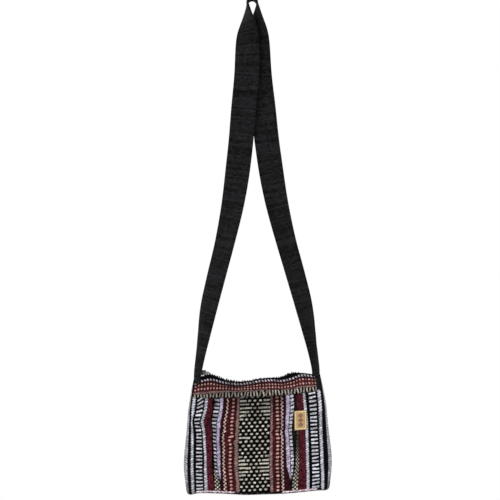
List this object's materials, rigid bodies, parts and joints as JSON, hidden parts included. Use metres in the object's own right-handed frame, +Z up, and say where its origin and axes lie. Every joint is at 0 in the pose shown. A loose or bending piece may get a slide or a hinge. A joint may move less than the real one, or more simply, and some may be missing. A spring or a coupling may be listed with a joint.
{
  "type": "crossbody bag",
  "caption": "Small zip-top crossbody bag of coarse striped cloth with a dotted diamond band, hanging by a long flat black woven strap.",
  "frame": {"origin": "hang point: the inside of the strap's top bend, where a peg or a shoulder carries the bag", "axes": "+Z up along the hanging strap, -Y towards the bag's front, +X to the viewer's right"},
  "size_m": [0.2362, 0.074, 0.8024],
  "materials": {
    "striped_cloth": "coarse hand-woven cotton in maroon, black, lavender, white and beige stripes",
    "strap_webbing": "black cross-ribbed woven webbing",
    "zip_tape": "fine black tape",
    "zip_teeth": "black moulded coil",
    "zip_metal": "dull nickel",
    "label_cloth": "yellow woven label with no text"
  },
  "bodies": {
    "root": {"front_panel": "striped_cloth", "back_panel": "striped_cloth", "gusset": "striped_cloth", "top_band_front": "striped_cloth", "top_band_back": "striped_cloth", "zip_tape": "zip_tape", "zip_chain": "zip_teeth", "zip_slider": "zip_metal", "strap": "strap_webbing", "label": "label_cloth"}
  },
  "joints": []
}
